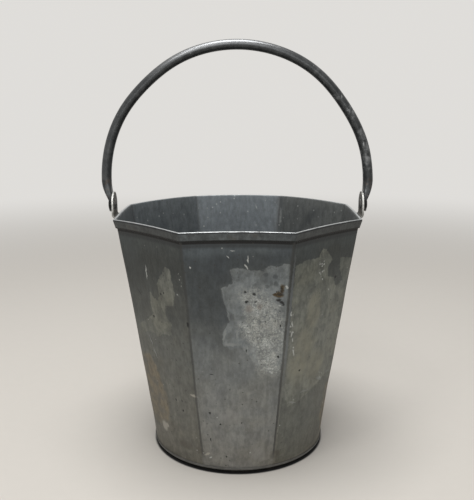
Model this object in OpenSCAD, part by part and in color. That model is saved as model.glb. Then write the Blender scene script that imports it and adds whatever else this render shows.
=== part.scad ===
// Octagonal sheet-steel pail with a folded hem, a round bottom and a tube handle on riveted ears.
// The mouth lies in X and Y with two flats facing +X and -X, where the ears are. +Z is up.
// The origin is on the floor, below the middle of the pail.

/* [Pail] */
// Width of the mouth across two opposite flats, over the hem
mouth_w = 300; // [260:1:360]
// Height of the rim's corners above the floor
rim_h = 307; // [250:1:370]
// Diameter of the base, over its folded edge
base_d = 225; // [185:1:245]
// Thickness of the sheet
sheet_t = 1; // [0.6:0.1:1.4]
// Rise of the rim's edge midway between two corners
crown = 1.5; // [0:0.5:4]

/* [Hem] */
// Height of the skirt that the rim is folded down into
hem_h = 11; // [7:0.5:12]
// Gap between the wall and the skirt
hem_gap = 2; // [1:0.25:3]

/* [Base] */
// Height of the pressed foot ring under the base's edge
foot_h = 4.5; // [2.5:0.5:8]
// Width of the foot ring's flat underside
foot_w = 8; // [6:0.5:14]
// Distance from the base's edge in to the foot ring
foot_inset = 3.5; // [3.5:0.5:8]
// Height of the base's folded edge
edge_h = 3.4; // [3:0.1:8]
// Radius of the folded edge's lower corner
edge_r = 1.5; // [0.5:0.25:2.5]

/* [Ears] */
// Width of an ear
lug_w = 32; // [24:1:40]
// Thickness of an ear
lug_t = 2; // [1.5:0.25:3]
// Distance from the hem out to the ear
lug_stand_off = 7.4; // [6:0.2:14]
// Depth below the rim at which the joggle starts
joggle_top = 4; // [2:0.5:5]
// Depth below the rim at which the joggle meets the wall
joggle_foot = 17; // [15:0.5:20]
// Depth of the ear's lower end below the rim
lug_drop = 52; // [50:1:70]

/* [Ear rivets] */
// Diameter of a rivet's shank
rivet_d = 5; // [4:0.5:6]
// Diameter of a rivet's head
rivet_head_d = 10; // [8:0.5:11]
// Height of a rivet's head
rivet_head_h = 2; // [1.5:0.25:3]
// Depth of the upper rivet below the rim
rivet_drop = 25; // [24:0.5:27]
// Distance between the two rivets
rivet_pitch = 16; // [12:0.5:18]

/* [Handle] */
// Outside diameter of the tube
tube_d = 12.7; // [10:0.1:16]
// Wall of the tube
tube_t = 1.8; // [1.2:0.1:2.2]
// Height of the pivot above the rim's corners
pivot_rise = 9.5; // [8:0.5:16]
// Height of the bend's centre above the pivot
bend_rise = 31; // [28:1:80]
// Distance that the tube's side stands in from the flattened end's inner face
leg_set_in = 0.1; // [-1:0.05:0.1]
// Width of the flattened end
tab_w = 19; // [17:0.5:24]
// Height of the flattened end above the pivot
tab_rise = 7.5; // [4:0.5:12]

/* [Pivots] */
// Diameter of a pivot rivet's shank
pivot_d = 8; // [6:0.5:10]
// Diameter of its heads
pivot_head_d = 13; // [12:0.5:16]
// Height of its inner head
pivot_head_h = 2; // [1.5:0.25:4]
// Height of its outer head
pivot_cap_h = 1; // [0.8:0.1:2]

/* [Fits] */
// Play around a pivot rivet in the handle's hole
pivot_play = 0.1; // [0.05:0.01:0.1]
// Play between a flattened end and the faces beside it
side_play = 0.4; // [0.3:0.1:1]
// Gap between sheets that are clamped together, and around rivets
seat_gap = 0.2; // [0.1:0.05:0.3]

/* [Hidden] */

$fn = 96;
sides = 8;                  // flats of the mouth
face_steps = 12;            // strips across one flat
wall_steps = 4;             // rings up the wall
arc_steps = 4;              // points in each quarter of a fold
nip = 0.01;                 // thickness of the discs that a hull joins

half_face = 180 / sides;
wall_seat = foot_h + sheet_t;                          // where the wall stands in the base's edge
wall_foot_r = base_d / 2 - sheet_t - seat_gap;         // outside of the wall at its lower edge
wall_mouth_r = mouth_w / 2 - sheet_t - hem_gap;        // outside of the wall's flats at the rim
fold_z = rim_h - hem_gap / 2 - sheet_t;                // centre of the hem's fold
wall_slope = atan((wall_mouth_r - wall_foot_r) / (fold_z + crown - wall_seat));

lug_in = mouth_w / 2 + lug_stand_off;                  // inner face of an ear
lug_out = lug_in + lug_t;
pivot_z = rim_h + pivot_rise;
tab_in = lug_out + side_play;                          // inner face of a flattened end
tab_t = 2 * tube_t;
tab_out = tab_in + tab_t;
bend_r = tab_in - leg_set_in + tube_d / 2;
bend_z = pivot_z + bend_rise;

// Angle from the middle of the nearest flat
function from_flat(a) = (a + half_face) % (2 * half_face) - half_face;

// Share of the way up the wall, from its lower edge to the fold
function share(z) = (z - wall_seat) / (fold_z - wall_seat);

// A point of the wall at angle a, `out` beyond its outer face: round below, an octagon at the rim
function wall_point(a, out, z) =
    let (up = share(z), flat = from_flat(a))
    let (r = (1 - up) * (wall_foot_r + out) + up * (wall_mouth_r + out) / cos(flat))
    let (bow = 1 - pow(tan(flat) / tan(half_face), 2))
    [r * cos(a), r * sin(a), z + crown * up * bow];

// Distance from the axis to the outer face at height z, midway across a flat and on a bend
function wall_x(z) = wall_foot_r + (z - wall_seat) * tan(wall_slope);
function corner_r(z) = wall_foot_r + share(z) * (wall_mouth_r / cos(half_face) - wall_foot_r);

function lerp(a, b, n) = [for (i = [0:n]) a + (b - a) * i / n];

// The wall's section: up the outside, round inside the fold, round the skirt, down the inside
fold_mid = hem_gap / 2;
skirt_z = rim_h - hem_h;
fold_out = hem_gap / 2 + sheet_t;
wall_section = concat(
    [for (z = lerp(wall_seat, fold_z, wall_steps)) [0, z]],
    [for (t = lerp(180, 0, 2 * arc_steps)) fold_mid * [1 + cos(t), 0] + [0, fold_z + fold_mid * sin(t)]],
    [[hem_gap, skirt_z], [hem_gap + sheet_t, skirt_z]],
    [for (t = lerp(0, 180, 2 * arc_steps)) [fold_mid + fold_out * cos(t), fold_z + fold_out * sin(t)]],
    [for (z = lerp(fold_z, wall_seat, wall_steps)) [-sheet_t, z]]
);

// The parts of a path shifted sideways by d, with mitred corners
function unit(v) = v / norm(v);
function across(v) = [v[1], -v[0]];
function shifted(path, d) = [
    for (i = [0:len(path) - 1])
        let (before = unit(i > 0 ? path[i] - path[i - 1] : path[1] - path[0]))
        let (after = i < len(path) - 1 ? unit(path[i + 1] - path[i]) : before)
        let (way = unit(across(before) + across(after)))
        path[i] + way * d / (way * across(before))
];

function reversed(list) = [for (i = [len(list) - 1:-1:0]) list[i]];

// Skin round a closed loop of points that is repeated at each angle
module ring_of_sections(section, steps) {
    n = len(section);
    points = [for (i = [0:steps - 1], p = section) wall_point(360 * i / steps, p[0], p[1])];
    faces = [
        for (i = [0:steps - 1], j = [0:n - 1])
            let (here = i * n, next = (i + 1) % steps * n, k = (j + 1) % n)
            each [[here + j, here + k, next + k], [here + j, next + k, next + j]]
    ];
    polyhedron(points, faces, convexity = 6);
}

// Places its children on the wall's outer face, `drop` below the rim, with +Z out of the wall
module on_wall(drop) {
    translate([wall_x(rim_h - drop), 0, rim_h - drop])
        rotate([0, 90 + wall_slope, 0])
            children();
}

module at_rivets() {
    on_wall(rivet_drop) children();
    on_wall(rivet_drop + rivet_pitch * cos(wall_slope)) children();
}

// A low domed head that stands on the plane z = 0
module domed_head(d, h) {
    dome_r = (d * d / 4 + h * h) / (2 * h);
    rim_a = asin(d / 2 / dome_r);
    rotate_extrude()
        polygon(concat(
            [[0, 0]],
            [for (t = lerp(rim_a, 0, 8)) [dome_r * sin(t), h - dome_r * (1 - cos(t))]]
        ));
}

module both_sides() {
    children();
    mirror([1, 0, 0]) children();
}

module pail_wall() {
    color("#70757a")
        difference() {
            ring_of_sections(wall_section, sides * face_steps);
            both_sides()
                at_rivets()
                    translate([0, 0, -3 * sheet_t])
                        cylinder(d = rivet_d + 2 * seat_gap, h = 5 * sheet_t);
        }
}

// A pressed disc: folded edge outside, foot ring below it, flat floor in the middle
module base_pan() {
    edge = base_d / 2;
    edge_top = foot_h + edge_h;
    lean = corner_r(edge_top) - wall_foot_r;
    foot_out = edge - foot_inset;
    foot_in = foot_out - foot_w;
    color("#6c7073")
        rotate_extrude()
            polygon(concat(
                [[0, foot_h], [foot_in, foot_h], [foot_in, 0], [foot_out, 0], [foot_out, foot_h]],
                [for (t = lerp(270, 360, arc_steps)) [edge - edge_r, foot_h + edge_r] + edge_r * [cos(t), sin(t)]],
                [[edge + lean, edge_top], [edge + lean - sheet_t, edge_top], [edge - sheet_t, wall_seat]],
                [[foot_out - sheet_t, wall_seat], [foot_out - sheet_t, sheet_t]],
                [[foot_in + sheet_t, sheet_t], [foot_in + sheet_t, wall_seat], [0, wall_seat]]
            ));
}

// A strip with round ends: upright at the pivot, joggled in below the hem, flat along the wall
module lug() {
    foot_z = rim_h - lug_drop;
    joggle_z = rim_h - joggle_foot;
    path = [
        [lug_in, pivot_z + lug_w],
        [lug_in, rim_h - joggle_top],
        [wall_x(joggle_z) + seat_gap, joggle_z],
        [wall_x(foot_z) + seat_gap, foot_z]
    ];
    color("#6b675f")
        difference() {
            intersection() {
                rotate([90, 0, 0])
                    translate([0, 0, -lug_w / 2])
                        linear_extrude(lug_w)
                            polygon(concat(path, reversed(shifted(path, -lug_t))));
                rotate([90, 0, 90])
                    linear_extrude(lug_out + lug_t)
                        lug_outline(foot_z);
            }
            translate([lug_in - lug_t, 0, pivot_z])
                rotate([0, 90, 0])
                    cylinder(d = pivot_d + 2 * seat_gap, h = 3 * lug_t);
            at_rivets()
                translate([0, 0, -lug_t])
                    cylinder(d = rivet_d + 2 * seat_gap, h = 3 * lug_t);
        }
}

module lug_outline(foot_z) {
    end_z = foot_z + lug_w / 2;
    translate([0, pivot_z]) circle(d = lug_w);
    translate([0, end_z]) circle(d = lug_w);
    translate([-lug_w / 2, end_z]) square([lug_w, pivot_z - end_z]);
}

// Shank through the ear and the wall, with a head against each
module lug_rivets() {
    outer = seat_gap + lug_t;
    inner = sheet_t + seat_gap;
    color("#5c5e5d")
        at_rivets() {
            translate([0, 0, -inner]) cylinder(d = rivet_d, h = inner + outer);
            translate([0, 0, outer]) domed_head(rivet_head_d, rivet_head_h);
            translate([0, 0, -inner]) mirror([0, 0, 1]) domed_head(rivet_head_d, rivet_head_h);
        }
}

// Fixed in the ear; the flattened end of the handle turns on its shank, outside the ear
module pivot_rivet() {
    cap_x = tab_out + side_play;
    color("#4d4f50")
        translate([0, 0, pivot_z])
            rotate([0, 90, 0]) {
                translate([0, 0, lug_in]) cylinder(d = pivot_d, h = cap_x - lug_in);
                translate([0, 0, cap_x]) domed_head(pivot_head_d, pivot_cap_h);
                translate([0, 0, lug_in]) mirror([0, 0, 1]) domed_head(pivot_head_d, pivot_head_h);
            }
}

// The bent part of the handle, with radius r across the tube
module bend(r) {
    translate([0, 0, bend_z])
        rotate([90, 0, 0])
            rotate_extrude(angle = 180)
                translate([bend_r, 0])
                    circle(r = r);
}

// From the round tube down to a slot of the given width and thickness, `rise` above the pivot
module pinch(r, width, thick, rise) {
    hull() {
        translate([bend_r, 0, bend_z - nip])
            cylinder(r = r, h = nip, $fn = 48);
        translate([tab_in + (tab_t - thick) / 2, -width / 2, pivot_z + rise])
            cube([thick, width, nip]);
    }
}

// A tube bent to a half circle; each end is pressed flat, rounded and drilled for its pivot
module bail() {
    bore_r = tube_d / 2 - tube_t;
    color("#4a4e52")
        difference() {
            union() {
                bend(tube_d / 2);
                both_sides() {
                    pinch(tube_d / 2, tab_w, tab_t, tab_rise);
                    translate([tab_in, -tab_w / 2, pivot_z]) cube([tab_t, tab_w, tab_rise + nip]);
                    translate([tab_in, 0, pivot_z]) rotate([0, 90, 0]) cylinder(d = tab_w, h = tab_t);
                }
            }
            bend(bore_r);
            both_sides() {
                pinch(bore_r, tab_w - 4 * tube_t, nip, tab_rise + tube_t);
                translate([tab_in - tab_t, 0, pivot_z])
                    rotate([0, 90, 0])
                        cylinder(d = pivot_d + 2 * pivot_play, h = 3 * tab_t);
            }
        }
}

pail_wall();
base_pan();
mirror([1, 0, 0]) lug();  // left_lug
lug();  // right_lug
mirror([1, 0, 0]) lug_rivets();  // left_lug_rivets
lug_rivets();  // right_lug_rivets
bail();
mirror([1, 0, 0]) pivot_rivet();  // left_pivot_rivet
pivot_rivet();  // right_pivot_rivet
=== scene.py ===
import bpy, bmesh, math
import numpy as np
from mathutils import Matrix, Vector


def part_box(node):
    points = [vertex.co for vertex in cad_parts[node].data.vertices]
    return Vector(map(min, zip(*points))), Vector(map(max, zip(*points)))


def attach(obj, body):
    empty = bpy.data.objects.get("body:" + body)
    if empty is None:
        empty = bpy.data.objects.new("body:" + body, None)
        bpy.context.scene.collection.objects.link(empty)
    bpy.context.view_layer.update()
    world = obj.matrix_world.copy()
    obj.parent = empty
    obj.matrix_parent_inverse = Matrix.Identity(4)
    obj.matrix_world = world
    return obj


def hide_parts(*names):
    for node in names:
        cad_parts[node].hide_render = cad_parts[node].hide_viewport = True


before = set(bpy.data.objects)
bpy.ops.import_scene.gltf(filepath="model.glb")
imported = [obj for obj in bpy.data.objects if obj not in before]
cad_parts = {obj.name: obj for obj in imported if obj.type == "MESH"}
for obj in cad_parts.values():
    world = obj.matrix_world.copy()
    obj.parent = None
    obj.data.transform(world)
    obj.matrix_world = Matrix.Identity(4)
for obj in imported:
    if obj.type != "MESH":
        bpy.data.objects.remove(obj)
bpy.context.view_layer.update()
mm = 0.001
weldDistance = 0.002 * mm
smoothAngle = math.radians(32)    # steeper edges are shown sharp
print("frame loaded")


# camera and lamps

view = {
    "lens": 50.33,
    "distance": 0.910,            # in metres; the angles are in degrees
    "elevation": 12.21,
    "azimuth": 0.27,
    "roll": -0.12,
    "shift": -0.0017,
    "aimBelowRim": 51.1 * mm,
}

studio = {
    "floorColour": (0.60, 0.565, 0.515),
    "backColour": (0.74, 0.725, 0.70),
    "skyColour": (0.97, 0.985, 1.0),
    "skyStrength": 0.50,
    "floorRadius": 9.0,
    "fadeFrom": 0.9,              # the floor runs into the backdrop's colour, in metres
    "fadeTo": 2.6,
    "contactShadowFull": 111.5 * mm,      # painted contact shadow on the floor round the foot ends between these
    "contactShadowGone": 114.5 * mm,
}

# name, place, what it points at, power, size
lamps = [
    ("topLamp", (-0.1, -0.15, 2.1), (0, 0, 0.2), 24.0, 1.0),
    ("frontLamp", (-0.1, -2.3, 1.1), (0, 0, 0.2), 20.0, 1.5),
    ("sideLamp", (-0.40, -0.62, 1.20), (-0.05, 0, 0.52), 1.8, 0.22),
]


def addObject(name, data):
    made = bpy.data.objects.new(name, data)
    bpy.context.scene.collection.objects.link(made)
    return made


def facing(place, aim):
    turn = (aim - place).to_track_quat("-Z", "Y").to_matrix().to_4x4()
    return Matrix.Translation(place) @ turn


def placeCamera():
    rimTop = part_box("pail_wall")[1].z - wall["crown"]
    aim = Vector((0, 0, rimTop - view["aimBelowRim"]))
    up, turn = math.radians(view["elevation"]), math.radians(view["azimuth"])
    away = Vector((math.sin(turn) * math.cos(up), -math.cos(turn) * math.cos(up), math.sin(up)))
    lens = bpy.data.cameras.new("camera")
    lens.lens = view["lens"]
    lens.sensor_width = 36
    lens.shift_x = view["shift"]
    lens.clip_start = 0.01
    camera = addObject("camera", lens)
    roll = Matrix.Rotation(math.radians(view["roll"]), 4, "Z")
    camera.matrix_world = facing(aim + away * view["distance"], aim) @ roll
    bpy.context.scene.camera = camera


def addLamp(name, place, aim, power, size):
    lamp = bpy.data.lights.new(name, "AREA")
    lamp.energy, lamp.size = power, size
    addObject(name, lamp).matrix_world = facing(Vector(place), Vector(aim))


# small helpers for shader nodes: each finds its node tree from a socket it is given

def treeOf(*values):
    return next(value.id_data for value in values if isinstance(value, bpy.types.NodeSocket))


def addNode(tree, kind, **settings):
    made = tree.nodes.new("ShaderNode" + kind)
    for name, value in settings.items():
        setattr(made, name, value)
    return made


def plug(value, socket):          # a socket is linked, a plain value is set
    if isinstance(value, bpy.types.NodeSocket):
        socket.id_data.links.new(value, socket)
    elif value is not None:
        socket.default_value = (*value, 1.0) if socket.type == "RGBA" else value


def plugAll(made, **given):
    for name, value in given.items():
        plug(value, made.inputs[name])
    return made


def maths(operation, first, second=None, clamp=False):
    made = addNode(treeOf(first, second), "Math", operation=operation, use_clamp=clamp)
    plug(first, made.inputs[0])
    plug(second, made.inputs[1])
    return made.outputs[0]


def times(first, *others):
    for other in others:
        first = maths("MULTIPLY", first, other)
    return first


def plus(first, second):
    return maths("ADD", first, second)


def minus(first, second):
    return maths("SUBTRACT", first, second)


def most(first, *others):         # the highest of them
    for other in others:
        first = maths("MAXIMUM", first, other)
    return first


def between(amount, low, high):   # low where amount is 0, high where it is 1
    return plus(times(amount, high - low), low)


def sway(amount, reach):          # from half of reach below nothing to half of it above
    return times(minus(amount, 0.5), reach)


def rise(value, low, high):       # 0 at low, 1 at high, eased between
    made = addNode(treeOf(value), "MapRange", interpolation_type="SMOOTHSTEP")
    return plugAll(made, **{"Value": value, "From Min": low, "From Max": high}).outputs["Result"]


def paint(amount, under, over, way="MIX"):
    made = addNode(treeOf(amount, under, over), "Mix", data_type="RGBA", blend_type=way)
    for value, at in ((amount, 0), (under, 6), (over, 7)):
        plug(value, made.inputs[at])
    return made.outputs[2]


def cover(colour, mask, strength, over):
    return paint(times(mask, strength), colour, over)


def tint(colour, mask, by):
    return paint(mask, colour, by, "MULTIPLY")


# the colour is tinted by one tint where amount is low and by the other where it is high
def vary(colour, amount, low, high, strength=1.0):
    return paint(strength, colour, paint(amount, low, high), "MULTIPLY")


def vectorMaths(operation, *values):
    made = addNode(treeOf(*values), "VectorMath", operation=operation)
    for value, socket in zip(values, made.inputs):
        plug(value, socket)
    return made.outputs["Value" if operation in ("LENGTH", "DISTANCE") else "Vector"]


def stretch(position, scale):
    return vectorMaths("MULTIPLY", position, scale)


def turned(position, angle):      # in the plane of its first two numbers
    made = addNode(treeOf(position), "VectorRotate", rotation_type="Z_AXIS")
    return plugAll(made, Vector=position, Angle=angle).outputs[0]


def split(position):
    made = addNode(treeOf(position), "SeparateXYZ")
    plug(position, made.inputs[0])
    return made.outputs


def noise(position, scale, detail=3.0, roughness=0.55, distortion=0.0, output=0):
    made = addNode(treeOf(position), "TexNoise")
    plugAll(made, Vector=position, Scale=scale, Detail=detail, Roughness=roughness, Distortion=distortion)
    return made.outputs[output]


def cellsAt(position, scale):     # distance to the nearest cell's point, and two numbers of its luck
    made = addNode(treeOf(position), "TexVoronoi", feature="F1")
    plugAll(made, Vector=position, Scale=scale)
    luck = addNode(treeOf(position), "SeparateColor")
    plug(made.outputs["Color"], luck.inputs[0])
    return made.outputs["Distance"], luck.outputs[0], luck.outputs[1]


def startGroup(name, vectors, numbers, masks):
    tree = bpy.data.node_groups.new(name, "ShaderNodeTree")
    kinds = ((vectors, "INPUT", "Vector"), (numbers, "INPUT", "Float"), (masks, "OUTPUT", "Float"))
    for labels, way, kind in kinds:
        for label in labels:
            tree.interface.new_socket(name=label, in_out=way, socket_type="NodeSocket" + kind)
    return tree, tree.nodes.new("NodeGroupInput").outputs, tree.nodes.new("NodeGroupOutput").inputs


def useGroup(group, **given):
    made = treeOf(*given.values()).nodes.new("ShaderNodeGroup")
    made.node_tree = group
    return plugAll(made, **given).outputs


# an oval mark, lying turned in the plane of its position's first two numbers
def buildOvalMark():
    tree, given, out = startGroup("ovalMark", ["Position", "Centre", "Size"], ["Turn", "Core"], ["Mask"])
    away = vectorMaths("SUBTRACT", given["Position"], given["Centre"])
    reach = vectorMaths("LENGTH", vectorMaths("DIVIDE", turned(away, given["Turn"]), given["Size"]))
    plug(rise(reach, 1.0, given["Core"]), out["Mask"])
    return tree


# small scattered dots: Share is how many of the cells hold one
def buildSpecks():
    tree, given, out = startGroup("specks", ["Position"], ["Scale", "Radius", "Share"], ["Mask"])
    distance, luck, shade = cellsAt(given["Position"], given["Scale"])
    dot = rise(distance, given["Radius"], times(given["Radius"], 0.35))
    held = times(maths("LESS_THAN", luck, given["Share"]), plus(shade, 0.3))
    plug(maths("MULTIPLY", dot, held, True), out["Mask"])
    return tree


# the same unevenness for all the metal: broad clouds, run marks down the sheet, fine grain
def buildWeather():
    masks = ["Broad", "Runs", "Grain", "Mottle", "Fine"]
    tree, given, out = startGroup("weather", ["Position"], ["Scale"], masks)
    sized = addNode(tree, "VectorMath", operation="SCALE")
    plug(given["Position"], sized.inputs[0])
    plug(given["Scale"], sized.inputs["Scale"])
    place = sized.outputs[0]
    plug(noise(place, 11, 4, 0.6, 0.4), out["Broad"])
    plug(noise(stretch(place, (1, 1, 0.07)), 170, 3, 0.6), out["Runs"])
    plug(noise(place, 620, 3, 0.65), out["Grain"])
    plug(noise(place, 75, 5, 0.62, 0.3), out["Mottle"])
    plug(rise(noise(stretch(place, (1, 1, 0.5)), 250, 4, 0.75), 0.36, 0.64), out["Fine"])
    return tree


# thin scratches: lines that follow Position's second number once it is turned by Turn
def buildScratches():
    tree, given, out = startGroup("scratches", ["Position"], ["Scale", "Turn", "Share"], ["Mask"])
    drawn = stretch(turned(given["Position"], given["Turn"]), (1, 0.05, 1))
    distance, luck = cellsAt(drawn, given["Scale"])[:2]
    plug(times(rise(distance, 0.10, 0.04), maths("LESS_THAN", luck, given["Share"])), out["Mask"])
    return tree


# rubbed edges, from the piece's own edge attribute, broken up by noise
def buildRubbed():
    tree, given, out = startGroup("rubbed", ["Position"], ["Edge", "Amount"], ["Mask"])
    broken = plus(given["Edge"], sway(noise(given["Position"], 260, 3, 0.6), 1.1))
    plug(times(rise(broken, 0.25, 0.75), given["Amount"]), out["Mask"])
    return tree


ovalMark = buildOvalMark()
specks = buildSpecks()
weather = buildWeather()
scratches = buildScratches()
rubbed = buildRubbed()


def dots(place, scale, radius, share):
    return useGroup(specks, Position=place, Scale=scale, Radius=radius, Share=share)["Mask"]


def lines(place, scale, turn, share):
    return useGroup(scratches, Position=place, Scale=scale, Turn=turn, Share=share)["Mask"]


def attribute(place, name):
    return addNode(place.id_data, "Attribute", attribute_name=name).outputs["Fac"]


def rubbedEdge(place, amount):
    return useGroup(rubbed, Position=place, Edge=attribute(place, "edge"), Amount=amount)["Mask"]


# each place is across, up, half width and half height in mm, and any turn in degrees
def ovals(position, places, core):
    masks = []
    for x, y, wide, high, *turn in places:
        masks.append(useGroup(ovalMark, Position=position, Centre=(x * mm, y * mm, 0), Core=core,
                              Size=(wide * mm, high * mm, 1), Turn=math.radians(sum(turn)))["Mask"])
    return most(*masks)


def mottled(cloud, dark, light, low=0.3, high=0.7):
    return paint(rise(cloud["Mottle"], low, high), dark, light)


def grainHeight(cloud, grain):
    return plus(times(cloud["Grain"], grain), cloud["Mottle"])


def startMaterial(name, scale=1.0):
    material = bpy.data.materials.new(name)
    material.use_nodes = True
    place = addNode(material.node_tree, "TexCoord").outputs["Object"]
    return material, place, useGroup(weather, Position=place, Scale=scale)


def endMaterial(material, colour, metal, rough, bumps, depth, strength=0.6):
    tree = material.node_tree
    bump = plugAll(addNode(tree, "Bump"), Height=bumps, Distance=depth, Strength=strength)
    shader = plugAll(tree.nodes["Principled BSDF"], Metallic=metal, Roughness=rough, Normal=bump.outputs[0])
    plug(colour, shader.inputs["Base Color"])
    return material


# small helpers for meshes

def finishPiece(name, mesh, materials, body, nodes):
    piece = addObject(name, mesh)
    for material in materials:
        mesh.materials.append(material)
    mesh.shade_smooth()
    mesh.set_sharp_from_angle(angle=smoothAngle)
    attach(piece, body)
    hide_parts(*nodes)
    print(name, len(mesh.vertices), "points")


def meshFrom(bm, name):
    mesh = bpy.data.meshes.new(name)
    bm.to_mesh(mesh)
    bm.free()
    return mesh


def steps(first, last, count):
    return [first + (last - first) * i / count for i in range(count + 1)]


def arc(x, z, radius, first, last, parts):
    turns = [math.radians(t) for t in steps(first, last, parts)]
    return [(x + radius * math.cos(t), z + radius * math.sin(t)) for t in turns]


# the closed or open line of points is turned once round Z
def turnRound(bm, points, parts, closed=True):
    line = [bm.verts.new((x, 0, z)) for x, z in points]
    edges = [bm.edges.new(pair) for pair in zip(line, line[1:] + (line[:1] if closed else []))]
    bmesh.ops.spin(bm, geom=line + edges, cent=(0, 0, 0), axis=(0, 0, 1), angle=math.tau, steps=parts,
                   use_merge=True)
    bmesh.ops.remove_doubles(bm, verts=bm.verts, dist=weldDistance)
    bmesh.ops.recalc_face_normals(bm, faces=bm.faces)


def softenEdges(bm, steeper, offset, segments):
    sharp = [e for e in bm.edges if len(e.link_faces) == 2 and e.calc_face_angle(0) > math.radians(steeper)]
    bmesh.ops.bevel(bm, geom=sharp, offset=offset, offset_type="OFFSET", affect="EDGES", segments=segments,
                    profile=0.5, material=-1, clamp_overlap=True)


# how sharp an outward edge each point is on, kept as the attribute that rubbed metal reads;
# an edge that turns by full degrees or more counts as 1
def markEdges(mesh, full):
    bm = bmesh.new()
    bm.from_mesh(mesh)
    values = np.zeros(len(bm.verts), np.float32)
    for edge in bm.edges:
        if len(edge.link_faces) == 2 and edge.calc_face_angle_signed(0) > 0:
            amount = min(1.0, math.degrees(edge.calc_face_angle_signed(0)) / full)
            for vert in edge.verts:
                values[vert.index] = max(values[vert.index], amount)
    bm.free()
    mesh.attributes.new("edge", "FLOAT", "POINT").data.foreach_set("value", values)
    return mesh


def easeBetween(value, low, high):
    share = np.clip((value - low) / (high - low), 0, 1)
    return share * share * (3 - 2 * share)


# the wall: eight flats that run into a round foot, with the rim folded out and down

wallLow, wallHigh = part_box("pail_wall")

wall = {
    "sheet": 1.0 * mm,
    "hemGap": 2.0 * mm,
    "hemDepth": 11.0 * mm,
    "footRadius": 111.3 * mm,
    "crown": 1.5 * mm,
    "bendRadius": 2.8 * mm,       # of the creases at the mouth
    "creaseDepth": 0.45 * mm,
    "creaseWidth": 1.3 * mm,
    "mapRadius": 135.0 * mm,      # turns degrees round the wall into metres of its map
    "skirtTuck": 1.4 * mm,        # the folded skirt is pressed in towards its lower edge
    "frontWider": 0.03,           # front and back flats are a little wider than the others
    "lapBeside": 6.0 * mm,        # the sheet's lap, from the back's left crease
    "flats": 8,
    "columns": 28,                # strips across each flat
    "crowding": 1.7,              # the strips are narrower towards the creases
    "rings": 84,                  # rings up the wall
}

foldHeight = wallHigh.z - wall["crown"] - wall["hemGap"] / 2 - wall["sheet"]
mouthRadius = wallHigh.x - wall["sheet"] - wall["hemGap"]
halfFlat = math.pi / wall["flats"]
mapLap = wall["mapRadius"] * math.tau

# dents, in mm on the wall's map: across from the front's middle, height, size, depth
wallDents = [
    (-52, 24, 16, -0.9), (-20, 60, 34, -0.5), (30, 40, 26, 0.4), (10, 215, 40, -0.45),
    (-96, 120, 40, -0.6), (96, 150, 44, 0.5), (150, 80, 34, -0.6), (-170, 200, 36, -0.5),
    (210, 190, 40, -0.7), (-240, 90, 42, 0.6), (300, 120, 45, -0.8), (-330, 60, 30, -0.9),
    (-390, 190, 40, 0.5), (400, 60, 28, -0.7),
]


def wallShape(angle, out, height):
    flat = (angle + halfFlat) % (2 * halfFlat) - halfFlat
    share = (height - wallLow.z) / (foldHeight - wallLow.z)
    reach = mouthRadius + out
    bend = wall["bendRadius"] + out
    centre = (reach - bend) / math.cos(halfFlat)
    off = halfFlat - np.abs(flat)
    onBend = np.tan(np.abs(flat)) > centre * math.sin(halfFlat) / reach
    inside = np.clip(bend ** 2 - (centre * np.sin(off)) ** 2, 0, None)
    mouth = np.where(onBend, centre * np.cos(off) + np.sqrt(inside), reach / np.cos(flat))
    radius = (1 - share) * (wall["footRadius"] + out) + share * mouth
    bow = 1 - (np.tan(flat) / math.tan(halfFlat)) ** 2
    return radius, height + wall["crown"] * share * bow, off * radius


# gentle waves and dents, in mm until the end, that leave the foot, the hem and the ears alone
def wallWaves(across, height):
    total = 0.28 * np.sin(across * 57 + 1.3) * np.sin(height * 34 + 0.4)
    total += 0.16 * np.sin(across * 121 + height * 40) + 0.12 * np.sin(height * 88 + across * 22)
    for dentAcross, dentHeight, size, depth in wallDents:
        gone = ((across / mm - dentAcross) ** 2 + (height / mm - dentHeight) ** 2) / size ** 2
        total += depth * np.exp(-gone * 2)
    calm = easeBetween(height, 9 * mm, 26 * mm) * easeBetween(height, 292 * mm, 262 * mm)
    fromLug = easeBetween(np.abs(np.abs(across) - mapLap / 4), 22 * mm, 45 * mm)
    nearLug = (1 - fromLug) * easeBetween(height, 225 * mm, 245 * mm)
    return total * mm * calm * (1 - nearLug)


# how far inside a closed outline each place lies, in mm; outside is negative
def insideOutline(outline, across, height):
    far = np.full(across.shape, 1e9)
    odd = np.zeros(across.shape, bool)
    for (x1, y1), (x2, y2) in zip(outline, outline[1:] + outline[:1]):
        dx, dy = x2 - x1, y2 - y1
        along = np.clip(((across - x1) * dx + (height - y1) * dy) / (dx * dx + dy * dy), 0, 1)
        far = np.minimum(far, np.hypot(across - x1 - along * dx, height - y1 - along * dy))
        odd ^= ((y1 > height) != (y2 > height)) & (across < dx * (height - y1) / (dy if dy else 1e-9) + x1)
    return np.where(odd, far, -far)


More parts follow.
